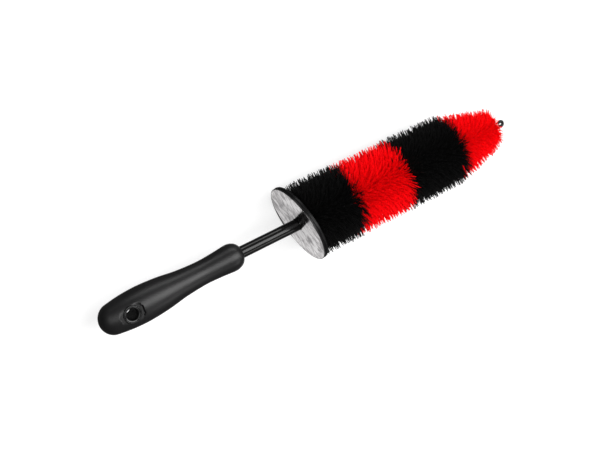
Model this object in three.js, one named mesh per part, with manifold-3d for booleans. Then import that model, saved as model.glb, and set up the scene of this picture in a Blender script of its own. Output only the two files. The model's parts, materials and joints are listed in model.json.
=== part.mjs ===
// Wheel brush: a soft-grip handle, a sleeved stem, a splash guard that sits loosely on the wire
// and leans on it, and a head of black and red filaments held in one folded, twisted wire with a
// dipped eye at its tip. Millimetres. +X runs from the butt of the handle to the tip, +Z is up
// along the hang hole, and Z = 0 is the surface under the guard's rim, with the origin at the
// middle of the brush's length.
import * as THREE from 'three';
import { mergeVertices } from 'three/addons/utils/BufferGeometryUtils.js';
import Module from 'manifold-3d';

const wasm = await Module();
wasm.setup();

// Driving dimensions
const LENGTH = 430;
const HANDLE_LENGTH = 133.5;
const STEM_SHOWING = 57.3;
const GUARD_RADIUS = 37.5;
const GUARD_DEPTH = 4.5;
const GUARD_LEAN = THREE.MathUtils.degToRad(10);
const GAP = 0.3;

// Stations along X
const BUTT = -LENGTH / 2;
const HANDLE_FRONT = BUTT + HANDLE_LENGTH;
const GUARD_BACK = HANDLE_FRONT + STEM_SHOWING;
const HEAD_START = GUARD_BACK + 4.6;
const TIP = LENGTH / 2;
const AXIS_HEIGHT = GUARD_RADIUS;

// Handle: widest at the belly, narrowest at the waist, flared again to the shoulder
const BUTT_DOME = { length: 13.5, radius: 13.8, sweep: 0.4 * Math.PI };
const BELLY_TO_FLARE = [
  [24, 15.1], [40, 15.65], [58, 14.3], [75, 11.8], [94, 10.5], [108, 11.0], [122.5, 12.3],
];
const SHOULDER = { start: 122.5, centreRadius: 5, length: 11, rise: 7.3, sweep: 0.44 * Math.PI };
const DROOP = 2.4;
const FLATNESS = 0.04;
const FLAT_LENGTH = 85;
const GRIP_WALL = 2.6;

// Hang hole, through the handle along Z
const HANG_X = BUTT + 25.8;
const HANG_RADIUS = 5.2;
const HANG_BOSS_RADIUS = 7.5;
const HANG_BOSS_HALF_HEIGHT = 13.6;
const HANG_LIP = 0.6;
const HANG_CHAMFER = 0.85;
const DISH_RADIUS = 10.6;
const DISH_HALF_HEIGHT = 13.0;

// Stem: the twisted wire in its sleeve
const SLEEVE_RADIUS = 5.45;
const SLEEVE_BORE = 2.6;
const SLEEVE_INSET = 74;
const SLEEVE_SPARE = 2.5;
const WIRE_RADIUS = 1.0;
const TWIST_RADIUS = 1.12;
const TWIST_PITCH = 22;
const WIRE_START = BUTT + 50;
const WIRE_BORE = 2.5;

// Eye at the tip, where the wire is folded, and the dipped coat over it
const EYE_RADIUS = 2.2;
const COAT_BORE = 1.28;
const COAT_RADIUS = 1.5;
const EYE_CENTRE = TIP - COAT_RADIUS - EYE_RADIUS;
const EYE_SPREAD = 7;
const COAT_START = EYE_CENTRE - 3.8;

// Splash guard, whose bores leave it room to lean on the wire and round the end of the sleeve
const FACE_THICKNESS = 0.6;
const FACE_RADIUS = 37.0;
const FACE_CHAMFER = 0.2;
const FACE_BORE = 6.0;
const DISC_BORE = 3.3;
const PLATE_THICKNESS = 2.4;
const RIM_WIDTH = 2.3;
const RIM_ROUND = 0.5;
const HUB_RADIUS = 7;

// Bristle bands: each band's end and its trimmed radius, then the taper to the tip
const BANDS = [
  { name: 'bristles_black_rear', end: 30, radius: 34.0, colour: 0x0a0a0a },
  { name: 'bristles_red_rear', end: 84.5, radius: 33.4, colour: 0xd01018 },
  { name: 'bristles_black_front', end: 149, radius: 33.6, colour: 0x0a0a0a },
  { name: 'bristles_red_tip', end: 206, radius: 33.6, colour: 0xd01018 },
];
const TAPER_START = 143;
const TAPER_SLOPE = 0.268;
const NOSE_LENGTH = 7;
const NOSE_RADIUS = 8;
const TIP_BORE = 3.9;
const TIP_BORE_LENGTH = 8;

// Facets round each kind of piece, points on each stretch of the handle's outline, and the
// length of a step along the wire and its coat
const ROUND = 40;
const CORE_SIDES = 28;
const POST_SIDES = 36;
const DISC_SIDES = 72;
const HEAD_SIDES = 48;
const WIRE_SIDES = 6;
const COAT_SIDES = 12;
const COAT_BORE_SIDES = 8;
const GRIP_DIVISIONS = 3;
const CORE_DIVISIONS = 2;
const WIRE_STEP = 1.6;
const COAT_STEP = 0.7;
const EYE_STEPS = 6;
const WELD = 1e-4;

// Solids: three.js geometry to manifold-3d and back, only to join and cut
function solid(geometry) {
  const bare = geometry.clone();
  bare.deleteAttribute('normal');
  bare.deleteAttribute('uv');
  const merged = mergeVertices(bare, WELD);
  const mesh = new wasm.Mesh({
    numProp: 3,
    vertProperties: new Float32Array(merged.attributes.position.array),
    triVerts: new Uint32Array(merged.index.array),
  });
  return new wasm.Manifold(mesh);
}

function geometryOf(made) {
  const mesh = made.getMesh();
  const geometry = new THREE.BufferGeometry();
  geometry.setAttribute('position', new THREE.BufferAttribute(mesh.vertProperties, 3));
  geometry.setIndex(new THREE.BufferAttribute(mesh.triVerts, 1));
  geometry.computeVertexNormals();
  return geometry;
}

// A profile of [x, radius] points turned round the brush's axis
function turned(profile, sides = ROUND) {
  const points = profile.map(([x, radius]) => new THREE.Vector2(radius, x));
  return new THREE.LatheGeometry(points, sides).rotateZ(-Math.PI / 2);
}

function ring(profile, sides = ROUND) {
  return turned([...profile, profile[0]], sides);
}

// A round bar along X, from one station to another
function bar(radius, from, to, sides = ROUND) {
  return turned([[from, 0], [from, radius], [to, radius], [to, 0]], sides);
}

// A round post through the handle along Z, centred on the hang hole
function post(radius, low, high) {
  return new THREE.CylinderGeometry(radius, radius, high - low, POST_SIDES)
    .rotateX(Math.PI / 2)
    .translate(HANG_X, droopAt(HANG_X), (low + high) / 2);
}

// The handle's line sinks evenly from the front to the butt
function droopAt(x) {
  return -DROOP * (HANDLE_FRONT - x) / HANDLE_LENGTH;
}

// The belly is a little flatter along the hang hole than across it
function thicknessAt(x) {
  const along = THREE.MathUtils.clamp((x - BUTT) / FLAT_LENGTH, 0, 1);
  return 1 - FLATNESS * (1 - along * along);
}

function handleOutline(divisions) {
  const path = new THREE.Path();
  path.absellipse(BUTT_DOME.length, 0, BUTT_DOME.length, BUTT_DOME.radius,
    Math.PI, Math.PI - BUTT_DOME.sweep, true);
  path.splineThru(BELLY_TO_FLARE.map(([x, radius]) => new THREE.Vector2(x, radius)));
  path.absellipse(SHOULDER.start, SHOULDER.centreRadius, SHOULDER.length, SHOULDER.rise,
    Math.PI / 2, Math.PI / 2 - SHOULDER.sweep, true);
  return path.getPoints(divisions);
}

// The handle's outer form, or the same form drawn in by an inset all over
function handleForm(inset, sides, divisions) {
  const outline = handleOutline(divisions);
  const profile = outline.map((point, i) => {
    const before = outline[Math.max(i - 1, 0)];
    const after = outline[Math.min(i + 1, outline.length - 1)];
    const along = after.clone().sub(before).normalize();
    const x = point.x + along.y * inset;
    const radius = i === 0 ? 0 : point.y - along.x * inset;
    return [BUTT + x, radius];
  });
  profile[0] = [BUTT + inset, 0];
  profile.push([profile.at(-1)[0], 0]);
  const geometry = turned(profile, sides);
  const position = geometry.attributes.position;
  for (let i = 0; i < position.count; i += 1) {
    const x = position.getX(i);
    position.setY(i, position.getY(i) + droopAt(x));
    position.setZ(i, position.getZ(i) * thicknessAt(x));
  }
  return solid(geometry);
}

// The soft skin: the outer form less the core's form, the boss, its dish and the stem's way out
function gripGeometry() {
  const past = 2 * DISH_HALF_HEIGHT;
  const cuts = [
    solid(post(DISH_RADIUS, DISH_HALF_HEIGHT, past)),
    solid(post(DISH_RADIUS, -past, -DISH_HALF_HEIGHT)),
    solid(post(HANG_BOSS_RADIUS + GAP, -past, past)),
    solid(bar(SLEEVE_RADIUS + GAP, HANDLE_FRONT - SLEEVE_INSET / 2, GUARD_BACK)),
  ];
  let grip = handleForm(0, ROUND, GRIP_DIVISIONS)
    .subtract(handleForm(GRIP_WALL, CORE_SIDES, CORE_DIVISIONS));
  for (const cut of cuts) {
    grip = grip.subtract(cut);
  }
  return geometryOf(grip);
}

// The lipped tube of the boss, turned round Z
function bossGeometry() {
  const half = HANG_BOSS_HALF_HEIGHT;
  const outer = HANG_BOSS_RADIUS;
  const profile = [
    [0, -half], [outer - HANG_LIP, -half], [outer, HANG_LIP - half],
    [outer, half - HANG_LIP], [outer - HANG_LIP, half], [0, half],
  ].map(([radius, z]) => new THREE.Vector2(radius, z));
  return new THREE.LatheGeometry(profile, POST_SIDES)
    .rotateX(Math.PI / 2)
    .translate(HANG_X, droopAt(HANG_X), 0);
}

// The hole with a chamfer at both mouths
function hangHoleGeometry() {
  const straight = HANG_BOSS_HALF_HEIGHT - HANG_CHAMFER;
  const past = HANG_BOSS_HALF_HEIGHT + HANG_CHAMFER;
  const mouth = HANG_RADIUS + 2 * HANG_CHAMFER;
  const profile = [
    [0, -past], [mouth, -past], [HANG_RADIUS, -straight],
    [HANG_RADIUS, straight], [mouth, past], [0, past],
  ].map(([radius, z]) => new THREE.Vector2(radius, z));
  return new THREE.LatheGeometry(profile, POST_SIDES)
    .rotateX(Math.PI / 2)
    .translate(HANG_X, droopAt(HANG_X), 0);
}

// The rigid core under the skin, with the stem's socket and the boss of the hang hole
function coreGeometry() {
  const socketEnd = HANDLE_FRONT - SLEEVE_INSET - GAP;
  const socket = solid(bar(SLEEVE_RADIUS + GAP, socketEnd, HANDLE_FRONT));
  const wireHole = solid(bar(WIRE_BORE, WIRE_START - GAP, socketEnd + GAP));
  const core = handleForm(GRIP_WALL + GAP, CORE_SIDES, CORE_DIVISIONS)
    .add(solid(bossGeometry()))
    .subtract(solid(hangHoleGeometry()))
    .subtract(wireHole)
    .subtract(socket);
  return geometryOf(core);
}

// Room on the guard's own axis, wider than the guard, to cut back what it leans on
function guardRoom(from, to) {
  return solid(bar(2 * GUARD_RADIUS, from, to).rotateZ(GUARD_LEAN).translate(GUARD_BACK, 0, 0));
}

// The sleeve runs from the core's socket through the mouth of the polished plate, and its end
// is slanted so that the moulded disc leans flat on it
function sleeveGeometry() {
  const from = HANDLE_FRONT - SLEEVE_INSET;
  const to = GUARD_BACK + SLEEVE_SPARE;
  const tube = ring([
    [from, SLEEVE_BORE], [from, SLEEVE_RADIUS], [to, SLEEVE_RADIUS], [to, SLEEVE_BORE],
  ]);
  return geometryOf(solid(tube).subtract(guardRoom(FACE_THICKNESS, GUARD_RADIUS)));
}

// One leg of the twist: side is 1 or -1, and the twist ends with the legs level in Y
function legPoint(x, side) {
  const twistEnd = EYE_CENTRE - EYE_SPREAD;
  const spread = THREE.MathUtils.smoothstep(x, twistEnd, EYE_CENTRE);
  const radius = THREE.MathUtils.lerp(TWIST_RADIUS, EYE_RADIUS, spread);
  const turn = 2 * Math.PI * Math.min(x - twistEnd, 0) / TWIST_PITCH;
  return new THREE.Vector3(x, side * radius * Math.cos(turn), side * radius * Math.sin(turn));
}

// The centre line of the folded wire: out along one leg, round the eye and back along the other
function wirePath(from) {
  const reach = EYE_CENTRE - from;
  const count = Math.ceil(reach / WIRE_STEP);
  const stations = Array.from({ length: count + 1 }, (_, i) => from + reach * i / count);
  const out = stations.map((x) => legPoint(x, 1));
  const back = stations.map((x) => legPoint(x, -1)).reverse();
  const bend = [];
  for (let i = 1; i < EYE_STEPS; i += 1) {
    const angle = Math.PI / 2 - Math.PI * i / EYE_STEPS;
    const past = EYE_RADIUS * Math.cos(angle);
    bend.push(new THREE.Vector3(EYE_CENTRE + past, EYE_RADIUS * Math.sin(angle), 0));
  }
  const path = new THREE.CatmullRomCurve3([...out, ...bend, ...back]);
  path.arcLengthDivisions = path.points.length * 8;
  return path;
}

function wireSweep(from, radius, sides, step) {
  const path = wirePath(from);
  const section = new THREE.Shape();
  for (let i = 0; i < sides; i += 1) {
    const angle = 2 * Math.PI * i / sides;
    const corner = [radius * Math.cos(angle), radius * Math.sin(angle)];
    if (i === 0) section.moveTo(...corner);
    else section.lineTo(...corner);
  }
  const steps = Math.round(path.getLength() / step);
  return new THREE.ExtrudeGeometry(section, { steps, extrudePath: path });
}

function wireGeometry() {
  return wireSweep(WIRE_START, WIRE_RADIUS, WIRE_SIDES, WIRE_STEP);
}

// The dipped coat, a sweep along the same path as the wire with the wire's room taken out
function coatGeometry() {
  const before = COAT_START - COAT_RADIUS;
  const coat = solid(wireSweep(COAT_START, COAT_RADIUS, COAT_SIDES, COAT_STEP));
  const hollow = solid(wireSweep(before, COAT_BORE, COAT_BORE_SIDES, COAT_STEP));
  return geometryOf(coat.subtract(hollow));
}

// The guard's pieces are turned about its own axis, from its back face at 0 to GUARD_DEPTH

// The polished plate on the handle's side of the guard
function faceGeometry() {
  return ring([
    [0, FACE_BORE], [0, FACE_RADIUS - FACE_CHAMFER], [FACE_CHAMFER, FACE_RADIUS],
    [FACE_THICKNESS, FACE_RADIUS], [FACE_THICKNESS, FACE_BORE],
  ], DISC_SIDES);
}

// The moulded disc: a plate with a rounded rim and a hub that both turn towards the bristles
function guardGeometry() {
  const back = FACE_THICKNESS + GAP;
  const plate = back + PLATE_THICKNESS;
  const inner = GUARD_RADIUS - RIM_WIDTH;
  const corner = RIM_ROUND * (1 - Math.SQRT1_2);
  return ring([
    [back, DISC_BORE], [back, GUARD_RADIUS - RIM_ROUND],
    [back + corner, GUARD_RADIUS - corner], [back + RIM_ROUND, GUARD_RADIUS],
    [GUARD_DEPTH - RIM_ROUND, GUARD_RADIUS], [GUARD_DEPTH - corner, GUARD_RADIUS - corner],
    [GUARD_DEPTH, GUARD_RADIUS - RIM_ROUND], [GUARD_DEPTH, inner], [plate, inner - RIM_ROUND],
    [plate, HUB_RADIUS + RIM_ROUND], [GUARD_DEPTH, HUB_RADIUS], [GUARD_DEPTH, DISC_BORE],
  ], DISC_SIDES);
}

// The trimmed radius of the head at a station: straight bands, then the taper
function trimAt(x, radius) {
  return radius - Math.max(x - TAPER_START, 0) * TAPER_SLOPE;
}

// One band of filaments as a plain turned solid with a hole for the wire
function bandGeometry(band, start) {
  const from = start + GAP / 2;
  const isTip = band === BANDS.at(-1);
  const to = isTip ? band.end : band.end - GAP / 2;
  const noseStart = to - NOSE_LENGTH;
  const outer = [[from, trimAt(from, band.radius)]];
  if (from < TAPER_START && to > TAPER_START) outer.push([TAPER_START, band.radius]);
  if (isTip) outer.push([noseStart, trimAt(noseStart, band.radius)], [to, NOSE_RADIUS]);
  else outer.push([to, trimAt(to, band.radius)]);
  const bore = isTip
    ? [[to, TIP_BORE], [to - TIP_BORE_LENGTH, TIP_BORE], [to - TIP_BORE_LENGTH, WIRE_BORE]]
    : [[to, WIRE_BORE]];
  return ring([[from, WIRE_BORE], ...outer, ...bore], HEAD_SIDES);
}

// The first band's filaments are pushed back where the guard leans into them
function firstBandGeometry(band) {
  const full = solid(bandGeometry(band, HEAD_START));
  return geometryOf(full.subtract(guardRoom(-GUARD_RADIUS, GUARD_DEPTH + GAP)));
}

const brush = new THREE.Group();
brush.position.z = AXIS_HEIGHT;

// The guard's own frame: its back face crosses the brush's axis at its origin
const guard = new THREE.Group();
guard.position.x = GUARD_BACK;
guard.rotation.z = GUARD_LEAN;
brush.add(guard);

function place(group, name, geometry, color, roughness, metalness = 0) {
  const material = new THREE.MeshStandardMaterial({ color, roughness, metalness });
  const mesh = new THREE.Mesh(geometry, material);
  mesh.name = name;
  group.add(mesh);
}

place(brush, 'handle_grip', gripGeometry(), 0x2b2b2d, 0.5);
place(brush, 'handle_core', coreGeometry(), 0x161617, 0.3);
place(brush, 'stem_sleeve', sleeveGeometry(), 0x0d0c0c, 0.22);
place(brush, 'core_wire', wireGeometry(), 0x9a9c9f, 0.35, 1);
place(brush, 'tip_cap', coatGeometry(), 0x0a0a0a, 0.4);
place(guard, 'guard_face', faceGeometry(), 0xc9c6c6, 0.25, 0.9);
place(guard, 'guard_disc', guardGeometry(), 0x1d1d1f, 0.35);

BANDS.forEach((band, i) => {
  const geometry = i === 0 ? firstBandGeometry(band) : bandGeometry(band, BANDS[i - 1].end);
  place(brush, band.name, geometry, band.colour, 0.7);
});

export default brush;
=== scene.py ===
"""The looks of a wheel brush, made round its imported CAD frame.

The brush lies level along X, butt to tip, with +Z up along the hang hole. Lengths are in metres
unless a name or a comment says millimetres. Places come from the frame's nodes.
"""

from collections import namedtuple
import json
import math

import bmesh
import bpy
import numpy as np
from mathutils import Matrix, Vector


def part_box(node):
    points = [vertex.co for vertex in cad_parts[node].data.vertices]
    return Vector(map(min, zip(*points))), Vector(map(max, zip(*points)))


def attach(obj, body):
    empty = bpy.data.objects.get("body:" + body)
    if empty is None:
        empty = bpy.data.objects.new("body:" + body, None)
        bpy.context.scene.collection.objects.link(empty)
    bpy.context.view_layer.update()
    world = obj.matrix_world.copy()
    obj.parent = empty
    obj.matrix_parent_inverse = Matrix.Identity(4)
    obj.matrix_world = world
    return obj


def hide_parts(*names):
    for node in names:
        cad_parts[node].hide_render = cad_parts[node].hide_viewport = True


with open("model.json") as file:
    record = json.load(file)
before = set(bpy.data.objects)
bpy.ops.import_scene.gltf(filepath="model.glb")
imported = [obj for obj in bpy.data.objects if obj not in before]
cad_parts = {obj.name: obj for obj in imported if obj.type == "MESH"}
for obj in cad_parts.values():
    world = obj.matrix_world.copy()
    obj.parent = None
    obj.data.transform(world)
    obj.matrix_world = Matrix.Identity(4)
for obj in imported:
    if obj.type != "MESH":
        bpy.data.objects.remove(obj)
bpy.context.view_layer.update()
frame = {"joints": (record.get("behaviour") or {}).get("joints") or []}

MM = 0.001
SMOOTH_ANGLE = math.radians(32)
WELD, CUT_WELD = 1e-7, 1e-6  # points closer than this are one point, as built and after a boolean
HAIR_MAP = "hair_map"

# How many sides round pieces have
GRIP_SIDES, CORE_SIDES, BORE_SIDES = 144, 72, 64
TUBE_SIDES, GUARD_SIDES = 96, 192
WIRE_SIDES, COAT_SIDES = 12, 24

# Stations along X and the axis's height, from the frame
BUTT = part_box("handle_grip")[0].x
HANDLE_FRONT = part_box("handle_grip")[1].x
SLEEVE_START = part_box("stem_sleeve")[0].x
COAT_START, TIP = (corner.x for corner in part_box("tip_cap"))
AXIS_Z = (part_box("guard_disc")[0].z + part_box("guard_disc")[1].z) / 2
SLEEVE_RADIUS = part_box("stem_sleeve")[1].y
SLEEVE_BORE = 2.6 * MM

# The handle's outline, as distance from the butt and radius in millimetres
DOME_LENGTH, DOME_RADIUS, DOME_SWEEP = 13.5, 13.8, 0.4 * math.pi
BELLY_TO_FLARE = [(24, 15.1), (40, 15.65), (58, 14.3), (75, 11.8), (94, 10.5), (108, 11.0), (122.5, 12.3)]
SHOULDER_CENTRE, SHOULDER_SIZE, SHOULDER_SWEEP = (122.5, 5.0), (11.0, 7.3), 0.44 * math.pi
OUTLINE_STEP, OUTLINE_SMOOTHING = 0.2, 1.6
FINE_UNTIL = 38  # how far along the outline its stations stay close together, past the dish
DROOP = 2.4 * MM
FLATNESS, FLAT_LENGTH = 0.04, 85 * MM
GRIP_WALL = 2.6 * MM
CLEARANCE = 0.3 * MM
STEM_BORE = SLEEVE_RADIUS + CLEARANCE

# The hang hole, its boss and the dish that it sits in
HANG_X = BUTT + 25.8 * MM
HANG_RADIUS = 5.2 * MM
BOSS_RADIUS = 7.5 * MM
BOSS_HALF = 13.6 * MM
BOSS_ROOM = 6.4 * MM  # the radius cleared in the core before its boss is set in
SKIN_HOLE = BOSS_RADIUS + CLEARANCE
DISH_RADIUS = 10.6 * MM
DISH_HALF = 13.0 * MM
DISH_WALL, DISH_RISE = 0.7 * MM, 8 * MM  # how wide and how high the dish's wall is, past the skin's face
DISH_BLEND = 0.5 * MM

# The guard, which leans on the wire: its back face crosses the brush's axis at the spin joint's point
GUARD_PLACE = Vector(frame["joints"][0]["pos_m"])
GUARD_AXIS = Vector(frame["joints"][0]["axis"])
DISC_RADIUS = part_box("guard_disc")[1].z - AXIS_Z
FACE_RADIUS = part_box("guard_face")[1].z - AXIS_Z
GUARD_DEPTH = 4.5 * MM
FACE_THICKNESS = 0.6 * MM
FACE_BORE = 6.0 * MM
DISC_BORE = 3.3 * MM

# The folded wire and the eye at its end
WIRE_RADIUS = 1.0 * MM
COAT_RADIUS = 1.5 * MM
TWIST_RADIUS = 1.12 * MM
TWIST_PITCH = 22 * MM
EYE_RADIUS = 2.2 * MM
EYE_SPREAD = 7 * MM  # the length over which the legs open out to the eye
EYE_POINTS = 17
EYE_X = TIP - COAT_RADIUS - EYE_RADIUS
WIRE_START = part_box("core_wire")[0].x
WIRE_BORE = 2.5 * MM


# ---------------------------------------------------------------- mesh making


def build(name, vertices, *blocks):
    """A mesh object from an array of points and blocks of faces, each block all triangles or all quads."""
    blocks = [np.asarray(block, np.int32) for block in blocks if len(block)]
    sizes = np.concatenate([np.full(len(block), block.shape[1]) for block in blocks])
    corners = np.concatenate([block.ravel() for block in blocks])
    mesh = bpy.data.meshes.new(name)
    mesh.vertices.add(len(vertices))
    mesh.vertices.foreach_set("co", np.asarray(vertices, np.float32).ravel())
    mesh.loops.add(len(corners))
    mesh.loops.foreach_set("vertex_index", corners)
    mesh.polygons.add(len(sizes))
    mesh.polygons.foreach_set("loop_start", np.concatenate([[0], np.cumsum(sizes)[:-1]]).astype(np.int32))
    mesh.update(calc_edges=True)
    made = bpy.data.objects.new(name, mesh)
    bpy.context.scene.collection.objects.link(made)
    return made


def finish_piece(piece, body, slot, material, *nodes):
    """Shades a piece, gives it its material, ties it to its body and hides the CAD nodes it stands for."""
    mesh = piece.data
    mesh.shade_smooth()
    mesh.set_sharp_from_angle(angle=SMOOTH_ANGLE)
    mesh.materials.clear()
    mesh.materials.append(material)
    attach(piece, body)
    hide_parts(*nodes)
    return piece


def filleted(corners, steps=5, most=0.49):
    """A profile of (along, radius, fillet) corners, each rounded by its fillet or by most of an edge."""
    count = len(corners)
    points = []
    for i, (along, radius, fillet) in enumerate(corners):
        here = np.array([along, radius])
        if fillet == 0:
            points.append(here)
            continue
        ends = []
        for j in (i - 1, (i + 1) % count):
            away = np.array(corners[j][:2]) - here
            ends.append(here + away * min(fillet / np.linalg.norm(away), most))
        for t in np.linspace(0, 1, steps):
            points.append(ends[0] * (1 - t) ** 2 + here * 2 * t * (1 - t) + ends[1] * t**2)
    return np.array(points)


def turned(name, profile, sides, closed=False):
    """A profile of (along, radius) points turned round the brush's axis; radius 0 makes a pole."""
    angles = 2 * np.pi * np.arange(sides) / sides
    points, rows = [], []
    for along, radius in profile:
        if radius < WELD:
            rows.append([len(points)] * sides)
            points.append((along, 0, AXIS_Z))
            continue
        rows.append(list(range(len(points), len(points) + sides)))
        points.extend(zip([along] * sides, radius * np.cos(angles), AXIS_Z + radius * np.sin(angles)))
    rows = np.array(rows)
    after = np.roll(rows, -1, axis=0) if closed else rows[1:]
    before = rows if closed else rows[:-1]
    quads = np.stack([before, np.roll(before, -1, 1), np.roll(after, -1, 1), after], -1).reshape(-1, 4)
    starts_at_pole = quads[:, 0] == quads[:, 1]
    ends_at_pole = quads[:, 2] == quads[:, 3]
    whole = quads[~(starts_at_pole | ends_at_pole)]
    fans = np.concatenate([quads[starts_at_pole][:, [0, 2, 3]], quads[ends_at_pole][:, [0, 1, 2]]])
    return build(name, points, whole, fans)


def stand_on_hang_hole(piece):
    """Turns a piece made along X at the origin so that it runs along Z through the hang hole."""
    piece.data.transform(Matrix.Translation((0, 0, -AXIS_Z)))
    piece.data.transform(Matrix.Rotation(-math.pi / 2, 4, "Y"))
    piece.data.transform(Matrix.Translation((HANG_X, droop_at(HANG_X), AXIS_Z)))
    return piece


def lean_with_guard(piece):
    """Turns a piece made along X from the origin so that it stands on the guard's own axis."""
    turn = Vector((1, 0, 0)).rotation_difference(GUARD_AXIS).to_matrix().to_4x4()
    piece.data.transform(Matrix.Translation(GUARD_PLACE) @ turn @ Matrix.Translation((0, 0, -AXIS_Z)))
    return piece


def tube(name, path, radius, sides):
    """A round tube along a path of points, closed at both ends."""
    path = np.asarray(path)
    ahead = np.gradient(path, axis=0)
    ahead /= np.linalg.norm(ahead, axis=1)[:, None]
    side = np.cross(ahead[0], (0.0, 0.0, 1.0))
    angles = 2 * np.pi * np.arange(sides) / sides
    points = []
    for here, forward in zip(path, ahead):
        side = side - forward * (side @ forward)
        side /= np.linalg.norm(side)
        other = np.cross(forward, side)
        ring = here + radius * (np.outer(np.cos(angles), side) + np.outer(np.sin(angles), other))
        points.append(ring)
    rows = np.arange(len(path) * sides).reshape(len(path), sides)
    quads = np.stack([rows[:-1], np.roll(rows[:-1], -1, 1), np.roll(rows[1:], -1, 1), rows[1:]], -1)
    ends = len(path) * sides
    first = [(ends, b, a) for a, b in zip(rows[0], np.roll(rows[0], -1))]
    last = [(ends + 1, a, b) for a, b in zip(rows[-1], np.roll(rows[-1], -1))]
    points = np.concatenate([*points, path[[0, -1]]])
    return build(name, points, quads.reshape(-1, 4), first + last)


def tidy_mesh(piece, weld=WELD):
    """Welds points that meet, drops what no face uses and points every face outwards."""
    work = bmesh.new()
    work.from_mesh(piece.data)
    bmesh.ops.remove_doubles(work, verts=work.verts, dist=weld)
    bmesh.ops.delete(work, geom=[v for v in work.verts if not v.link_faces], context="VERTS")
    bmesh.ops.recalc_face_normals(work, faces=work.faces)
    work.to_mesh(piece.data)
    work.free()


def apply_modifiers(piece):
    """Makes a piece's mesh what its modifiers show."""
    graph = bpy.context.evaluated_depsgraph_get()
    mesh = bpy.data.meshes.new_from_object(piece.evaluated_get(graph))
    piece.modifiers.clear()
    piece.data = mesh


def joined(piece, other, operation):
    """A boolean of two pieces, which leaves only the first, its points welded."""
    modifier = piece.modifiers.new("join", "BOOLEAN")
    modifier.object = other
    modifier.operation = operation
    modifier.solver = "EXACT"
    apply_modifiers(piece)
    tidy_mesh(piece, weld=CUT_WELD)
    bpy.data.objects.remove(other)
    return piece


# ------------------------------------------------------------------ materials


def new_material(name, roughness=0.5, metallic=0.0, specular=0.5):
    """A Principled material, its node tree and its shader."""
    material = bpy.data.materials.new(name)
    material.use_nodes = True
    tree = material.node_tree
    shader = tree.nodes["Principled BSDF"]
    shader.inputs["Roughness"].default_value = roughness
    shader.inputs["Metallic"].default_value = metallic
    shader.inputs["Specular IOR Level"].default_value = specular
    return material, tree, shader


def place_of(tree, stretch=(1, 1, 1)):
    """The piece's own coordinates in metres; a stretch under 1 makes noise run along that axis."""
    coordinates = tree.nodes.new("ShaderNodeTexCoord")
    mapping = tree.nodes.new("ShaderNodeMapping")
    mapping.inputs["Scale"].default_value = stretch
    tree.links.new(coordinates.outputs["Object"], mapping.inputs["Vector"])
    return mapping.outputs["Vector"]


def noise(tree, place, size, detail, distortion=0.0):
    """Noise whose features are about size metres across."""
    node = tree.nodes.new("ShaderNodeTexNoise")
    node.inputs["Scale"].default_value = 1 / size
    node.inputs["Detail"].default_value = detail
    node.inputs["Roughness"].default_value = 0.55
    node.inputs["Distortion"].default_value = distortion
    tree.links.new(place, node.inputs["Vector"])
    return node.outputs["Fac"]


def ramp(tree, value, stops):
    """Colours along a value, as (position, (red, green, blue)) stops."""
    node = tree.nodes.new("ShaderNodeValToRGB")
    elements = node.color_ramp.elements
    for position, colour in stops[2:]:
        elements.new(position)
    for element, (position, colour) in zip(elements, stops):
        element.position = position
        element.color = (*colour, 1)
    tree.links.new(value, node.inputs["Fac"])
    return node.outputs["Color"]


def mottled(tree, value, dark, light):
    """A colour that goes from dark to light over the middle of a noise's range."""
    return ramp(tree, value, [(0.3, dark), (0.7, light)])


def mapped(tree, value, low, high, start=0.0, end=1.0):
    """A value mapped so that it runs from low to high as it goes from start to end."""
    node = tree.nodes.new("ShaderNodeMapRange")
    node.inputs["From Min"].default_value = start
    node.inputs["From Max"].default_value = end
    node.inputs["To Min"].default_value = low
    node.inputs["To Max"].default_value = high
    tree.links.new(value, node.inputs["Value"])
    return node.outputs["Result"]


def spread(tree, value, low, high):
    """A noise's value, its middle half mapped to run from low to high."""
    return mapped(tree, value, low, high, start=0.25, end=0.75)


def mean_of(tree, first, second):
    """The mean of two values from 0 to 1."""
    total = tree.nodes.new("ShaderNodeMath")
    total.operation = "ADD"
    tree.links.new(first, total.inputs[0])
    tree.links.new(second, total.inputs[1])
    return mapped(tree, total.outputs["Value"], 0, 1, end=2)


def away_from(tree, place, point):
    """The distance of a place from a point."""
    node = tree.nodes.new("ShaderNodeVectorMath")
    node.operation = "DISTANCE"
    node.inputs[1].default_value = point
    tree.links.new(place, node.inputs[0])
    return node.outputs["Value"]


def dimmed(tree, colour, factor):
    """A colour times a factor."""
    node = tree.nodes.new("ShaderNodeVectorMath")
    node.operation = "SCALE"
    tree.links.new(colour, node.inputs[0])
    tree.links.new(factor, node.inputs["Scale"])
    return node.outputs["Vector"]


def bump(tree, shader, height, distance, under=None):
    """Bumps the shader's normal by a height of so many metres, over another bump if one is given."""
    node = tree.nodes.new("ShaderNodeBump")
    node.inputs["Strength"].default_value = 1.0
    node.inputs["Distance"].default_value = distance
    tree.links.new(height, node.inputs["Height"])
    if under is not None:
        tree.links.new(under, node.inputs["Normal"])
    tree.links.new(node.outputs["Normal"], shader.inputs["Normal"])
    return node.outputs["Normal"]


def grip_rubber():
    """Satin moulded rubber with a fine grain and faint clouds."""
    material, tree, shader = new_material("grip_rubber", specular=0.36)
    clouds = noise(tree, place_of(tree, stretch=(0.5, 1, 1)), 9 * MM, detail=6)
    colour = mottled(tree, clouds, (0.0040, 0.0039, 0.0041), (0.0066, 0.0064, 0.0068))
    tree.links.new(colour, shader.inputs["Base Color"])
    tree.links.new(spread(tree, clouds, 0.34, 0.44), shader.inputs["Roughness"])
    bump(tree, shader, noise(tree, place_of(tree), 0.6 * MM, detail=2), 0.02 * MM)
    return material


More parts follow.
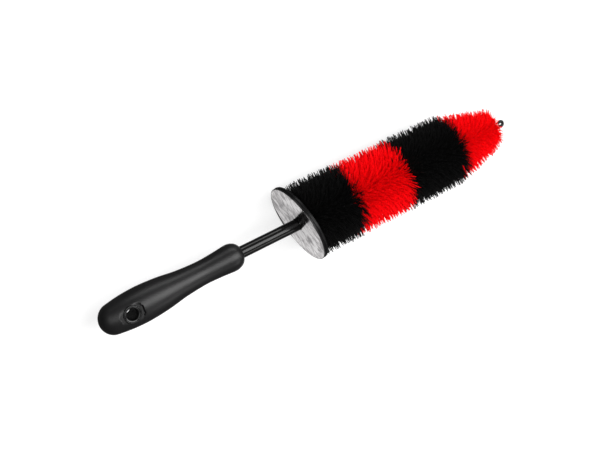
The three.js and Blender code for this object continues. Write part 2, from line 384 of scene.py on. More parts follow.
def hard_plastic(name, dark, light, roughness, specular, grain=0.6 * MM):
    """Moulded hard plastic with a faint flow pattern and roughness that varies a little."""
    material, tree, shader = new_material(name, specular=specular)
    place = place_of(tree)
    flow = noise(tree, place, 9 * MM, detail=4, distortion=0.6)
    tree.links.new(mottled(tree, flow, dark, light), shader.inputs["Base Color"])
    tree.links.new(spread(tree, flow, roughness * 0.85, roughness * 1.2), shader.inputs["Roughness"])
    bump(tree, shader, noise(tree, place, grain, detail=2), 0.005 * MM)
    return material


def sleeve_plastic():
    """A glossy drawn tube: long shallow ripples along it that break up the highlights."""
    material, tree, shader = new_material("sleeve_plastic", specular=0.32)
    ripples = noise(tree, place_of(tree, stretch=(0.22, 1, 1)), 2.6 * MM, detail=2)
    colour = mottled(tree, ripples, (0.0022, 0.0021, 0.0021), (0.0042, 0.0040, 0.0040))
    tree.links.new(colour, shader.inputs["Base Color"])
    tree.links.new(spread(tree, ripples, 0.13, 0.22), shader.inputs["Roughness"])
    bump(tree, shader, ripples, 0.05 * MM)
    return material


def guard_plate():
    """A bright rolled plate: cloudy, slightly wavy, with short smears, and darker near the stem as a painted
    reflection of the dark stem.
    """
    material, tree, shader = new_material("guard_plate", metallic=1.0)
    place = place_of(tree)
    # The mottled, smeared colour is partly the plate's own uneven tone and partly painted reflection: its
    # dark patches stand in for the surroundings that the wavy plate mirrors.
    streaks = noise(tree, place_of(tree, stretch=(1, 0.55, 1.3)), 6 * MM, detail=4, distortion=0.9)
    clouds = noise(tree, place, 14 * MM, detail=4, distortion=0.8)
    stops = [(0.41, (0.24, 0.23, 0.235)), (0.50, (0.52, 0.50, 0.505)), (0.58, (0.88, 0.86, 0.865))]
    colour = ramp(tree, mean_of(tree, streaks, clouds), stops)
    # Darker towards the stem: painted reflection of the dark stem and handle in the plate.
    away = away_from(tree, place, GUARD_PLACE)
    stem_reflection_dimming = mapped(tree, away, 0.78, 1.0, start=SLEEVE_RADIUS, end=0.7 * FACE_RADIUS)
    tree.links.new(dimmed(tree, colour, stem_reflection_dimming), shader.inputs["Base Color"])
    tree.links.new(spread(tree, streaks, 0.10, 0.22), shader.inputs["Roughness"])
    waves = bump(tree, shader, clouds, 0.10 * MM)
    bump(tree, shader, streaks, 0.008 * MM, under=waves)
    return material


def wire_steel():
    """Drawn steel wire with faint lines along it."""
    material, tree, shader = new_material("wire_steel", metallic=1.0)
    lines = noise(tree, place_of(tree, stretch=(0.2, 1, 1)), 0.6 * MM, detail=3)
    colour = mottled(tree, lines, (0.30, 0.305, 0.31), (0.50, 0.505, 0.51))
    tree.links.new(colour, shader.inputs["Base Color"])
    tree.links.new(spread(tree, lines, 0.28, 0.42), shader.inputs["Roughness"])
    bump(tree, shader, lines, 0.01 * MM)
    return material


def filament(name, root, middle, tip, variation, specular):
    """Filament plastic, coloured along each hair and a little differently from hair to hair; darker towards
    the roots as painted shade deep among the hairs.

    The hairs' map holds the hair's own shade across and the way from root to tip up.
    """
    material, tree, shader = new_material(name, roughness=0.5, specular=specular)
    layer = tree.nodes.new("ShaderNodeUVMap")
    layer.uv_map = HAIR_MAP
    axes = tree.nodes.new("ShaderNodeSeparateXYZ")
    tree.links.new(layer.outputs["UV"], axes.inputs["Vector"])
    # Darker towards the roots: painted shade deep among the hairs.
    along = ramp(tree, axes.outputs["Y"], [(0.15, root), (0.6, middle), (1.0, tip)])
    shade = mapped(tree, axes.outputs["X"], 1 - variation, 1.0)
    tree.links.new(dimmed(tree, along, shade), shader.inputs["Base Color"])
    return material


# --------------------------------------------------------------------- handle


def droop_at(x):
    """How far along Y the handle's line lies: it bends evenly aside from its front to the butt."""
    return -DROOP * (HANDLE_FRONT - x) / (HANDLE_FRONT - BUTT)


def thickness_at(x):
    """The handle's thickness over its width, which is a little less towards the butt."""
    along = np.clip((x - BUTT) / FLAT_LENGTH, 0, 1)
    return 1 - FLATNESS * (1 - along * along)


def curve_through(points, per_gap=24):
    """A Catmull-Rom curve through the points."""
    points = np.asarray(points, float)
    count = len(points)
    made = []
    for i in range(count - 1):
        before, here = points[max(i - 1, 0)], points[i]
        there, after = points[i + 1], points[min(i + 2, count - 1)]
        start, end = (there - before) / 2, (after - here) / 2
        for t in np.linspace(0, 1, per_gap, endpoint=False):
            cubic = (2 * here - 2 * there + start + end) * t**3
            square = (3 * there - 3 * here - 2 * start - end) * t**2
            made.append(cubic + square + start * t + here)
    return made + [points[-1]]


def arc(centre, size, start, end, steps=60):
    """Points of an ellipse's arc."""
    angles = np.linspace(start, end, steps)
    return [np.array([centre[0] + size[0] * math.cos(a), centre[1] + size[1] * math.sin(a)]) for a in angles]


def ways_along(line):
    """How far along a line each of its points is."""
    return np.concatenate([[0], np.cumsum(np.linalg.norm(np.diff(line, axis=0), axis=1))])


def points_at(line, ways):
    """The points of a line at the given ways along it."""
    gone = ways_along(line)
    return np.stack([np.interp(ways, gone, line[:, k]) for k in (0, 1)], 1)


def smoothed(outline, step, width):
    """An evenly spaced outline without its kinks: mirrored past the axis, drawn on past its other end."""
    reach = int(3 * width / step)
    weights = np.exp(-0.5 * (np.arange(-reach, reach + 1) * step / width) ** 2)
    weights /= weights.sum()
    mirrored = outline[reach:0:-1] * (1, -1)
    beyond = 2 * outline[-1] - outline[-2 : -reach - 2 : -1]
    padded = np.concatenate([mirrored, outline, beyond])
    smooth = np.stack([np.convolve(padded[:, k], weights, "valid") for k in (0, 1)], 1)
    smooth[:, 0] -= smooth[0, 0]
    smooth[0, 1] = 0
    return smooth


def handle_outline():
    """The handle's half outline in millimetres from the butt."""
    dome = arc((DOME_LENGTH, 0), (DOME_LENGTH, DOME_RADIUS), math.pi, math.pi - DOME_SWEEP)
    flanks = curve_through([dome[-1], *BELLY_TO_FLARE])
    shoulder = arc(SHOULDER_CENTRE, SHOULDER_SIZE, math.pi / 2, math.pi / 2 - SHOULDER_SWEEP)
    outline = np.array(dome + flanks[1:] + shoulder[1:])
    even = np.arange(0, ways_along(outline)[-1], OUTLINE_STEP)
    return smoothed(points_at(outline, even), OUTLINE_STEP, OUTLINE_SMOOTHING)


def stations(outline, fine, coarse):
    """The outline thinned to fine steps near the hang hole and coarse steps past it, in millimetres."""
    length = ways_along(outline)[-1]
    near = np.arange(0, FINE_UNTIL, fine)
    far = np.linspace(FINE_UNTIL, length, int((length - FINE_UNTIL) / coarse))
    return points_at(outline, np.concatenate([near, far]))


def inset_by(outline, depth):
    """The outline drawn in by a depth, with its first point still on the axis."""
    along = np.gradient(outline, axis=0)
    along /= np.linalg.norm(along, axis=1)[:, None]
    drawn = outline + np.stack([along[:, 1], -along[:, 0]], 1) * depth
    drawn[0, 1] = 0
    drawn[:, 1] = np.maximum(drawn[:, 1], 0)
    return drawn


def smooth_min(a, b):
    """The lesser of two heights, rounded where they cross."""
    share = np.clip(0.5 + 0.5 * (b - a) / DISH_BLEND, 0, 1)
    return b + (a - b) * share - DISH_BLEND * share * (1 - share)


def dish_floor(x, y, depth):
    """How high a sheet that lies a depth below the skin's face may stand over the middle plane."""
    away = np.hypot(x - HANG_X, y - droop_at(HANG_X))
    wall = np.clip((away - (DISH_RADIUS - DISH_WALL / 2)) / DISH_WALL, 0, 1)
    return DISH_HALF - depth + DISH_RISE * wall**2 * (3 - 2 * wall)


def skin_sheet(outline, sides, depth):
    """The points of a sheet of the skin, as rows round each station, with the dish pressed in."""
    angles = 2 * np.pi * (np.arange(sides) + 0.5) / sides
    x = BUTT + outline[:, 0:1] * MM + 0 * angles
    y = outline[:, 1:2] * MM * np.cos(angles) + droop_at(x)
    z = outline[:, 1:2] * MM * np.sin(angles) * thickness_at(x)
    z = np.sign(z) * smooth_min(np.abs(z), dish_floor(x, y, depth))
    return np.stack([x, y, z], -1)


def skin_height(outline, x, y):
    """The height of the undished skin above the middle plane at a point."""
    radius = np.interp((x - BUTT) / MM, outline[:, 0], outline[:, 1]) * MM
    across = y - droop_at(x)
    return np.sqrt(np.maximum(radius**2 - across**2, 0)) * thickness_at(x)


def sheet_faces(rows, sides):
    """Quads of a sheet as a grid of rows by sides, each with its four corner indices."""
    index = np.arange(rows * sides).reshape(rows, sides)
    behind, ahead = index[:-1], index[1:]
    return np.stack([behind, np.roll(behind, -1, 1), np.roll(ahead, -1, 1), ahead], -1)


def faces_round_boss(sheet):
    """A sheet's faces less those where the boss comes through, on both sides."""
    faces = sheet_faces(*sheet.shape[:2])
    middle = sheet.reshape(-1, 3)[faces].mean(axis=2)
    away = np.hypot(middle[..., 0] - HANG_X, middle[..., 1] - droop_at(HANG_X))
    return faces[away >= SKIN_HOLE]


def hole_edges(faces, rows, sides):
    """The edges round the holes in a sheet's faces, less those at the sheet's first and last rows."""
    edges = np.concatenate([faces[:, [k, (k + 1) % 4]] for k in range(4)])
    keys = {tuple(edge) for edge in edges}
    rim = np.array([(a, b) for a, b in keys if (b, a) not in keys])
    return rim[(rim.min(axis=1) >= sides) & (rim.max(axis=1) < (rows - 1) * sides)]


def drawn_to_circle(places, line, depth):
    """Points near the boss drawn onto the hole's circle, at the height of a sheet of the skin."""
    centre = np.array([HANG_X, droop_at(HANG_X)])
    offset = places[:, :2] - centre
    placed = centre + offset / np.linalg.norm(offset, axis=1)[:, None] * SKIN_HOLE
    height = skin_height(line, placed[:, 0], placed[:, 1])
    height = smooth_min(height, dish_floor(placed[:, 0], placed[:, 1], depth))
    return np.column_stack([placed, np.sign(places[:, 2]) * height])


def stem_lips(outer, inner):
    """The rings that close the skin's two sheets round the stem, and the faces between them."""
    rows, sides, _ = outer.shape
    ring = np.arange(sides)
    angles = 2 * np.pi * (ring + 0.5) / sides
    chamfer_length, chamfer_height = 0.5 * MM, 0.45 * MM
    front, back = outer[-1, 0, 0], inner[-1, 0, 0]
    lips = [
        np.column_stack([np.full(sides, x), radius * np.cos(angles), radius * np.sin(angles)])
        for x, radius in (
            (front, STEM_BORE + chamfer_height),
            (front - chamfer_length, STEM_BORE),
            (back, STEM_BORE),
        )
    ]
    count = rows * sides
    last_row = count - sides + ring
    rings = [2 * count + k * sides + ring for k in range(len(lips))]
    chain = [last_row, *rings, count + last_row]
    faces = [np.column_stack([a, np.roll(a, -1), np.roll(b, -1), b]) for a, b in zip(chain, chain[1:])]
    return lips, faces


def handle_grip():
    """The soft skin: a shell with the dish, the boss's hole through both sides and the stem's way out."""
    outer_line = stations(handle_outline(), fine=0.45, coarse=1.05)
    inner_line = inset_by(outer_line, GRIP_WALL / MM)
    front = slice(len(inner_line) // 2, None)
    least = STEM_BORE / MM + 0.5
    inner_line[front, 1] = np.maximum(inner_line[front, 1], least)
    outer = skin_sheet(outer_line, GRIP_SIDES, 0)
    inner = skin_sheet(inner_line, GRIP_SIDES, GRIP_WALL)
    outer_faces = faces_round_boss(outer)
    lips, lip_faces = stem_lips(outer, inner)

    # The hole's rim is drawn onto a true circle in both sheets, and walls join the two
    rim = hole_edges(outer_faces, len(outer), GRIP_SIDES)
    on_rim = np.unique(rim)
    outer, inner = outer.reshape(-1, 3), inner.reshape(-1, 3)
    rough = outer[on_rim]
    outer[on_rim] = drawn_to_circle(rough, outer_line, 0)
    inner[on_rim] = drawn_to_circle(rough, inner_line, GRIP_WALL)
    count = len(outer)
    walls = np.column_stack([rim[:, 1], rim[:, 0], rim[:, 0] + count, rim[:, 1] + count])

    points = np.concatenate([outer, inner, *lips]) + (0, 0, AXIS_Z)
    piece = build("grip", points, outer_faces, outer_faces[:, ::-1] + count, walls, *lip_faces)
    tidy_mesh(piece)
    return piece


def plug(name, start, end, radius):
    """A cylinder along the brush's axis, to cut a bore with."""
    return turned(name, [(start, 0), (start, radius), (end, radius), (end, 0)], BORE_SIDES)


def handle_core():
    """The rigid core inside the skin, with the socket for the stem and the boss of the hang hole."""
    depth = GRIP_WALL + CLEARANCE
    line = inset_by(stations(handle_outline(), fine=1.0, coarse=1.6), depth / MM)
    sheet = skin_sheet(line, CORE_SIDES, depth)
    points = np.concatenate([sheet.reshape(-1, 3), [[sheet[-1, 0, 0], 0, 0]]]) + (0, 0, AXIS_Z)
    quads = sheet_faces(len(line), CORE_SIDES).reshape(-1, 4)
    ring = (len(line) - 1) * CORE_SIDES + np.arange(CORE_SIDES)
    cap = np.column_stack([ring, np.roll(ring, -1), np.full(CORE_SIDES, len(points) - 1)])
    core = build("core", points, quads, cap)
    tidy_mesh(core)
    room = plug("room", -2 * BOSS_HALF, 2 * BOSS_HALF, BOSS_ROOM)
    core = joined(core, stand_on_hang_hole(room), "DIFFERENCE")
    core = joined(core, stand_on_hang_hole(hang_boss()), "UNION")
    socket_end = SLEEVE_START - CLEARANCE
    socket = plug("socket", socket_end, HANDLE_FRONT + 10 * MM, STEM_BORE)
    core = joined(core, socket, "DIFFERENCE")
    bore = plug("bore", WIRE_START - CLEARANCE, socket_end + CLEARANCE, WIRE_BORE)
    return joined(core, bore, "DIFFERENCE")


def hang_boss():
    """The boss's tube: a rounded outer lip, a groove, a lower inner lip and the bore."""
    groove = BOSS_HALF - 0.45 * MM
    inner_lip = BOSS_HALF - 0.1 * MM
    half = [
        (groove, BOSS_RADIUS - 0.95 * MM, 0.15 * MM),
        (inner_lip, BOSS_RADIUS - 1.25 * MM, 0.2 * MM),
        (inner_lip - 0.1 * MM, BOSS_RADIUS - 1.6 * MM, 0.25 * MM),
        (inner_lip - 0.35 * MM, HANG_RADIUS, 0.2 * MM),
    ]
    outer = [
        (BOSS_HALF, BOSS_RADIUS - 0.7 * MM, 0.25 * MM),
        (BOSS_HALF - 0.1 * MM, BOSS_RADIUS - 0.05 * MM, 0.3 * MM),
        (BOSS_HALF - 0.9 * MM, BOSS_RADIUS, 0.2 * MM),
    ]
    top = outer[::-1] + half
    bottom = [(-x, radius, fillet) for x, radius, fillet in top[::-1]]
    boss = turned("boss", filleted(top + bottom), TUBE_SIDES, closed=True)
    tidy_mesh(boss)
    return boss


# -------------------------------------------------------------- stem and wire


def subdivided(profile, longest):
    """A closed profile with no straight stretch longer than a length."""
    points = []
    for here, there in zip(profile, np.roll(profile, -1, axis=0)):
        count = max(1, math.ceil(np.linalg.norm(there - here) / longest))
        points.extend(here + (there - here) * i / count for i in range(count))
    return np.array(points)


def stem_sleeve():
    """The tube over the wire, with softened ends; its front end slants to meet the leaning guard."""
    end = GUARD_PLACE.x + FACE_THICKNESS / GUARD_AXIS.x
    profile = filleted([
        (SLEEVE_START, SLEEVE_BORE, 0), (SLEEVE_START, SLEEVE_RADIUS, 0.4 * MM),
        (end, SLEEVE_RADIUS, 0.2 * MM), (end, SLEEVE_BORE, 0),
    ])
    piece = turned("sleeve", subdivided(profile, 3 * MM), TUBE_SIDES, closed=True)
    slant_reach = 8 * MM
    for vertex in piece.data.vertices:
        share = min(max((vertex.co.x - end) / slant_reach + 1, 0), 1)
        vertex.co.x -= vertex.co.y * GUARD_AXIS.y / GUARD_AXIS.x * share
    tidy_mesh(piece)
    return piece


def wire_path(start, step):
    """The folded wire's line: out along one leg of the twist, round the eye and back along the other."""
    twist_end = EYE_X - EYE_SPREAD
    x = np.linspace(start, EYE_X, math.ceil((EYE_X - start) / step) + 1)
    opened = np.clip((x - twist_end) / EYE_SPREAD, 0, 1)
    opened = opened**2 * (3 - 2 * opened)
    radius = TWIST_RADIUS + (EYE_RADIUS - TWIST_RADIUS) * opened
    turn = 2 * np.pi * np.minimum(x - twist_end, 0) / TWIST_PITCH
    leg = np.stack([x, radius * np.cos(turn), radius * np.sin(turn)], 1)
    bend = np.linspace(np.pi / 2, -np.pi / 2, EYE_POINTS)[1:-1]
    eye = np.stack([EYE_X + EYE_RADIUS * np.cos(bend), EYE_RADIUS * np.sin(bend), 0 * bend], 1)
    path = np.concatenate([leg, eye, leg[::-1] * (1, -1, -1)])
    return path + (0, 0, AXIS_Z)


def core_wire():
    """The twisted wire itself."""
    piece = tube("wire", wire_path(WIRE_START, step=0.8 * MM), WIRE_RADIUS, WIRE_SIDES)
    tidy_mesh(piece)
    return piece


def tip_coat():
    """The dipped coat on the eye, run together between the wire's legs."""
    piece = tube("coat", wire_path(COAT_START + 0.4 * MM, step=0.3 * MM), COAT_RADIUS, COAT_SIDES)
    remesh = piece.modifiers.new("dip", "REMESH")
    remesh.mode = "VOXEL"
    remesh.voxel_size = 0.13 * MM
    soften = piece.modifiers.new("soften", "SMOOTH")
    soften.iterations = 6
    apply_modifiers(piece)
    tidy_mesh(piece)
    return piece


# ---------------------------------------------------------------------- guard


def guard_disc():
    """The moulded disc: a rim with a fine bead and a lip round the bright plate, a thin web and a hub."""
    back = FACE_THICKNESS + CLEARANCE
    web = back + 2.4 * MM
    inner = DISC_RADIUS - 2.3 * MM
    hub = 7 * MM
    lip, lip_end = FACE_RADIUS + 0.1 * MM, 0.15 * MM
    waist = DISC_RADIUS - 0.25 * MM
    groove = DISC_RADIUS - 0.5 * MM
    profile = filleted([
        (back, DISC_BORE, 0.2 * MM), (back, lip, 0), (lip_end, lip, 0.1 * MM),
        (lip_end, DISC_RADIUS, 0.3 * MM), (1.2 * MM, waist, 0.3 * MM), (1.7 * MM, groove, 0.2 * MM),
        (2.2 * MM, DISC_RADIUS, 0.5 * MM), (3.3 * MM, DISC_RADIUS, 0.5 * MM),
        (3.8 * MM, groove, 0.2 * MM), (GUARD_DEPTH, groove, 0.3 * MM),
        (GUARD_DEPTH, inner, 0.4 * MM), (web, inner - 0.5 * MM, 0.6 * MM),
        (web, hub + 0.5 * MM, 0.6 * MM), (GUARD_DEPTH, hub, 0.4 * MM), (GUARD_DEPTH, DISC_BORE, 0.2 * MM),
    ])
    piece = turned("disc", subdivided(profile, 2 * MM), GUARD_SIDES, closed=True)
    tidy_mesh(piece)
    return lean_with_guard(piece)


def guard_face():
    """The bright plate on the handle's side, with a rolled edge."""
    profile = filleted([
        (0, FACE_BORE, 0.12 * MM), (0, FACE_RADIUS, 0.3 * MM),
        (FACE_THICKNESS, FACE_RADIUS, 0), (FACE_THICKNESS, FACE_BORE, 0),
    ])
    piece = turned("face", subdivided(profile, 1.2 * MM), GUARD_SIDES, closed=True)
    tidy_mesh(piece)
    return lean_with_guard(piece)


# ------------------------------------------------------------------- bristles

Layer = namedtuple("Layer", "lead spacing hairs girth gather ragged tips stray wander")

# A band has two layers of tufts, both on double helices: a dense body and sparser, longer needles
BODY_LAYER = Layer(
    lead=3.4 * MM,  # along the brush for each turn of a helix
    spacing=1.75 * MM,  # between tufts, along a turn
    hairs=2,  # in a tuft
    girth=1.0,  # of the hairs, times their usual radii
    gather=0.22 * MM,  # how closely a tuft's tips come together
    ragged=1.0 * MM,  # how unevenly long a tuft's hairs are
    tips=(-4.4 * MM, -1.2 * MM),  # the span of the tips from the trimmed line
    stray=1.6 * MM,  # how far tufts lean into the next band at a band's ends
    wander=0.9 * MM,  # how far tufts lean anywhere
)
NEEDLE_LAYER = Layer(
    lead=6.8 * MM,
    spacing=3.4 * MM,
    hairs=4,
    girth=1.35,
    gather=0.15 * MM,
    ragged=0.6 * MM,
    tips=(0.0 * MM, 2.6 * MM),
    stray=3.6 * MM,
    wander=1.2 * MM,
)
STRAY_REACH = 8 * MM  # how far from a band's end its tufts still stray
FORWARD_SHARE = 0.1  # how far they stray towards the tip, against how far towards the guard
ROOT_WANDER = 0.4 * MM
MIX_REACH = 3.6 * MM  # how far on either side of a boundary the two colours' tufts mix
GUARD_ROOM = 0.4 * MM  # between the guard's front and the hairs that it pushes back
LOOSE_SHARE, LOOSENESS = 0.08, 3.0  # hairs whose tips leave their tuft, and by how many times more
ROOT_SCATTER, ANGLE_SCATTER, BOW = 0.7 * MM, 0.10, 0.55 * MM
BOW_POWER, ACROSS_POWER, ALONG_POWER = 0.9, 1.7, 1.4  # how late along a hair it bows and bends over
CLOSEST_TURN = 2 * MM  # the least radius at which a distance across is turned into an angle
HAIR_STATIONS = np.array([0.0, 0.62, 1.0])
HAIR_RADII = np.array([0.24, 0.24, 0.11]) * MM  # at the stations
HAIR_SIDES = 3
HAIR_SHADES = 64
ROOT_RADIUS = 1.3 * MM
TAPER_START, TAPER_SLOPE = 143 * MM, 0.268
NOSE_LENGTH, NOSE_RADIUS = 7 * MM, 6.5 * MM
NOSE_FROM = 0.75  # the way along the tip band past which its hairs are drawn in
NOSE_ROOT, NOSE_TIP, NOSE_TRIM = 4.5 * MM, 7.5 * MM, 1.5 * MM  # how far: roots back, tips back, shorter


def tuft_places(profile, layer, seed):
    """Tufts along a double helix on a profile of (x, radius): their x, radius, angle and way along it."""
    profile = np.asarray(profile)
    gone = ways_along(profile)
    places = []
    for first_turn in (0, math.pi):
        angle = seed
        while True:
            way = layer.lead * (angle - seed) / (2 * math.pi)
            if way > gone[-1]:
                break
            x, radius = (np.interp(way, gone, profile[:, k]) for k in (0, 1))
            places.append((x, radius, angle + first_turn, way / gone[-1]))
            angle += layer.spacing / radius
    return np.array(places)


def guard_front_at(y):
    """Where the leaning guard's front face is along X, at a distance across the brush."""
    return GUARD_PLACE.x + (GUARD_DEPTH - y * GUARD_AXIS.y) / GUARD_AXIS.x


def thinned(tufts, low, high, random):
    """The tufts less those that make way, near each end of a band, for the next band's."""
    past = np.maximum(low - tufts[:, 0], tufts[:, 0] - high)
    share = np.clip(0.5 - past / (2 * MIX_REACH), 0, 1)
    return tufts[random.random(len(tufts)) < share]


def tuft_ends(tufts, layer, low, high, nosed, random):
    """Where each tuft starts and ends: its root's x, and its tip's x, place across and radius."""
    x, radius, _, way = tufts.T
    count = len(tufts)
    forward = np.exp(np.minimum(x - high, 0) / STRAY_REACH) * (not nosed)
    backward = np.exp(np.minimum(low - x, 0) / STRAY_REACH)
    stray = np.abs(random.normal(0, layer.stray, count)) * (FORWARD_SHARE * forward - backward)
    tip_x = np.minimum(x + random.normal(0, layer.wander, count) + stray, TIP)
    tip_across = random.normal(0, layer.wander, count)
    tip_radius = radius + random.uniform(*layer.tips, count)
    nose = np.clip((way - NOSE_FROM) / (1 - NOSE_FROM), 0, 1) * nosed
    root_x = x - NOSE_ROOT * nose + random.normal(0, ROOT_WANDER, count)
    return root_x, tip_x - NOSE_TIP * nose, tip_across, tip_radius - NOSE_TRIM * nose


def hair_lines(profile, layer, seed, first, nosed, random):
    """The centre lines of a layer's hairs, as (hairs, stations, 3), gathered into pointed tufts."""
    # The boundaries with the next bands, put out of reach where there is none
    low = profile[0][0] + (-1 if first else 1) * MIX_REACH
    high = profile[-1][0] + (1 if nosed else -1) * MIX_REACH
    tufts = thinned(tuft_places(profile, layer, seed), low, high, random)
    ends = tuft_ends(tufts, layer, low, high, nosed, random)
    root_x, tip_x, tip_across, tip_radius, angle = np.repeat([*ends, tufts[:, 2]], layer.hairs, axis=1)
    hairs = len(angle)

    def scatter(amount):
        return random.normal(0, amount, hairs)

    loose = np.where(random.random(hairs) < LOOSE_SHARE, LOOSENESS, 1.0)
    start_x = root_x + scatter(ROOT_SCATTER)
    end_x = tip_x + scatter(layer.gather) * loose
    start_angle = angle + scatter(ANGLE_SCATTER)
    end_across = tip_across + scatter(layer.gather) * loose
    end_radius = tip_radius - random.uniform(0, layer.ragged, hairs)
    bow_x, bow_across = scatter(BOW), scatter(BOW)

    # Each hair leaves the wire near its own root and bends over to its tuft's tip
    t = HAIR_STATIONS
    bow = np.sin(np.pi * t**BOW_POWER)
    out = ROOT_RADIUS + (end_radius[:, None] - ROOT_RADIUS) * t
    across = end_across[:, None] * t**ACROSS_POWER + bow_across[:, None] * bow
    along = start_x[:, None] + (end_x - start_x)[:, None] * t**ALONG_POWER + bow_x[:, None] * bow
    turn = start_angle[:, None] + (angle - start_angle)[:, None] * t
    turn += across / np.maximum(out, CLOSEST_TURN)
    along = np.maximum(along, guard_front_at(out * np.cos(turn)) + GUARD_ROOM)
    return np.stack([along, out * np.cos(turn), out * np.sin(turn) + AXIS_Z], -1)


def hair_mesh(name, lines, girths, random):
    """Fine tapered prisms along the lines, closed at both ends, with the map that colours them."""
    hairs, levels, _ = lines.shape
    ahead = lines[:, -1] - lines[:, 0]
    ahead /= np.linalg.norm(ahead, axis=1)[:, None]
    side = np.cross(ahead, (1.0, 0.0, 0.0))
    side /= np.linalg.norm(side, axis=1)[:, None]
    other = np.cross(ahead, side)
    angles = 2 * np.pi * np.arange(HAIR_SIDES) / HAIR_SIDES
    angles = angles + random.uniform(0, 2 * np.pi, hairs)[:, None]
    spokes = np.cos(angles)[..., None] * side[:, None] + np.sin(angles)[..., None] * other[:, None]
    rings = lines[:, :, None] + (girths[:, None] * HAIR_RADII)[..., None, None] * spokes[:, None]
    index = np.arange(hairs * levels * HAIR_SIDES).reshape(hairs, levels, HAIR_SIDES)
    after = np.roll(index, -1, axis=2)
    walls = np.stack([index[:, :-1], after[:, :-1], after[:, 1:], index[:, 1:]], -1)
    piece = build(name, rings.reshape(-1, 3), walls.reshape(-1, 4), index[:, 0, ::-1], index[:, -1])
    colour_hairs(piece, random.integers(0, HAIR_SHADES, hairs) / HAIR_SHADES)
    return piece


def colour_hairs(piece, shades):
    """Maps each hair's walls and its two ends: its shade across, and the way from root to tip up."""
    column = shades[:, None, None, None]
    across = (np.arange(HAIR_SIDES)[:, None] + np.array([0, 1, 1, 0])) / HAIR_SIDES
    u = column + across / HAIR_SHADES + np.zeros((1, len(HAIR_STATIONS) - 1, 1, 1))
    up = np.stack([HAIR_STATIONS[:-1], HAIR_STATIONS[:-1], HAIR_STATIONS[1:], HAIR_STATIONS[1:]], -1)
    v = np.broadcast_to(up[:, None], u.shape)
    cap_u = column[:, 0, 0] + np.array([0, 0.5, 1]) / HAIR_SHADES
    cap_height = 0.004
    root_v = np.broadcast_to([0, cap_height, 0], cap_u.shape)
    tip_v = np.broadcast_to([1 - cap_height, 1, 1 - cap_height], cap_u.shape)
    us = np.concatenate([u.ravel(), cap_u.ravel(), cap_u.ravel()])
    vs = np.concatenate([v.ravel(), root_v.ravel(), tip_v.ravel()])
    layer = piece.data.uv_layers.new(name=HAIR_MAP)
    layer.data.foreach_set("uv", np.stack([us, vs], -1).astype(np.float32).ravel())


def trim_at(x, radius):
    """The trimmed radius of the head at a station: straight, then the taper."""
    return radius - max(x - TAPER_START, 0) * TAPER_SLOPE


def band_profile(node, first, nosed):
    """The line of the tips of a band, from its CAD solid's box."""
    low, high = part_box(node)
    full = high.y + max(low.x - TAPER_START, 0) * TAPER_SLOPE
    start = low.x if first else low.x - MIX_REACH
    end = high.x + MIX_REACH
    line = [(start, trim_at(start, full))]
    if start < TAPER_START < end:
        line.append((TAPER_START, full))
    if nosed:
        nose = high.x - NOSE_LENGTH
        return line + [(nose, trim_at(nose, full)), (high.x, NOSE_RADIUS)]
    return line + [(end, trim_at(end, full))]


def bristle_band(name, node, slot, material, seed, first=False, nosed=False):
    """One colour band of hairs, standing for its CAD solid."""
    profile = band_profile(node, first, nosed)
    random = np.random.default_rng(seed)
    kinds = (BODY_LAYER, NEEDLE_LAYER)
    layers = [hair_lines(profile, layer, seed, first, nosed, random) for layer in kinds]
    girths = np.repeat([layer.girth for layer in kinds], [len(lines) for lines in layers])
    piece = hair_mesh(name, np.concatenate(layers), girths, random)
    return finish_piece(piece, "brush", slot, material, node)


# ---------------------------------------------------------------------- stage

TARGET = Vector((5.7 * MM, 0, AXIS_Z))  # the point of the axis that the camera's distance is measured to
TOWARDS_CAMERA = Vector((-0.375, 0.2957, 0.8786)).normalized()
CAMERA_DISTANCE = 0.85
LENS, SENSOR = 57.1, 36.0
CLIMB = math.radians(26.4)  # how steeply the brush rises to the right in the picture
SHIFT = (-0.0424, -0.0240)


def turned_to(place, right, up, back):
    """The matrix of a camera or light at a place, from its three axes."""
    return Matrix.Translation(place) @ Matrix((right, up, back)).transposed().to_4x4()


def camera():
    """The picture's camera, rolled so that the brush rises to the right."""
    back = TOWARDS_CAMERA
    brush = Vector((1, 0, 0))
    ahead = (brush - back * brush.dot(back)).normalized()
    above = back.cross(ahead)
    right = math.cos(CLIMB) * ahead - math.sin(CLIMB) * above
    up = math.sin(CLIMB) * ahead + math.cos(CLIMB) * above
    data = bpy.data.cameras.new("camera")
    data.lens, data.sensor_width = LENS, SENSOR
    data.shift_x, data.shift_y = SHIFT
    data.clip_start, data.clip_end = 0.01, 100
    made = bpy.data.objects.new("camera", data)
    bpy.context.scene.collection.objects.link(made)
    made.matrix_world = turned_to(TARGET + back * CAMERA_DISTANCE, right, up, back)
    bpy.context.scene.camera = made


def soft_light(name, place, aim, size, radiance, long_way=Vector((1, 0, 0))):
    """A softbox of (length the long way, width) at a place, of a given brightness over its face."""
    data = bpy.data.lights.new(name, "AREA")
    data.shape = "RECTANGLE"
    data.size, data.size_y = size
    data.energy = radiance * math.pi * size[0] * size[1]
    back = (place - aim).normalized()
    along = (long_way - back * long_way.dot(back)).normalized()
    made = bpy.data.objects.new(name, data)
    made.matrix_world = turned_to(place, along, back.cross(along), back)
    made.visible_camera = False
    bpy.context.scene.collection.objects.link(made)
    return made


def shown_to_camera(tree, hidden, seen, output):
    """Gives the camera one shader and every other ray another."""
    rays = tree.nodes.new("ShaderNodeLightPath")
    mix = tree.nodes.new("ShaderNodeMixShader")
    tree.links.new(rays.outputs["Is Camera Ray"], mix.inputs["Fac"])
    tree.links.new(hidden, mix.inputs[1])
    tree.links.new(seen, mix.inputs[2])
    tree.links.new(mix.outputs["Shader"], output.inputs["Surface"])


